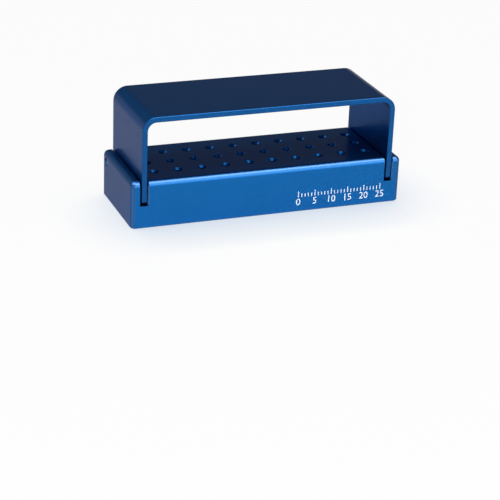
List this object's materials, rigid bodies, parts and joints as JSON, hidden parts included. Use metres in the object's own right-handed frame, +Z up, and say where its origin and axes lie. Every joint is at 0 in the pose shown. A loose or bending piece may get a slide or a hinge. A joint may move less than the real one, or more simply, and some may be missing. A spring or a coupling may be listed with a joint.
{
  "type": "dental bur block",
  "caption": "Small metal block with rows of countersunk holes for dental burs, under a U-shaped bail that swings back on two pins.",
  "frame": {"origin": "middle of the block's underside", "axes": "+X along the block, +Y from the front face to the hinge side, +Z up"},
  "size_m": [0.08, 0.028, 0.0317],
  "materials": {
    "anodised_block": "satin, bead blasted and anodised blue",
    "anodised_bail": "satin, anodised blue",
    "steel_pin": "ground"
  },
  "bodies": {
    "block": {"base_block": "anodised_block", "hinge_pin_left": "steel_pin", "hinge_pin_right": "steel_pin"},
    "bail": {"bail": "anodised_bail"}
  },
  "joints": [
    {"name": "bail_hinge", "type": "hinge", "parent": "block", "child": "bail", "pos_m": [0, 0.01025, 0.0107], "axis": [-1, 0, 0], "range_deg": [0, 97]}
  ]
}
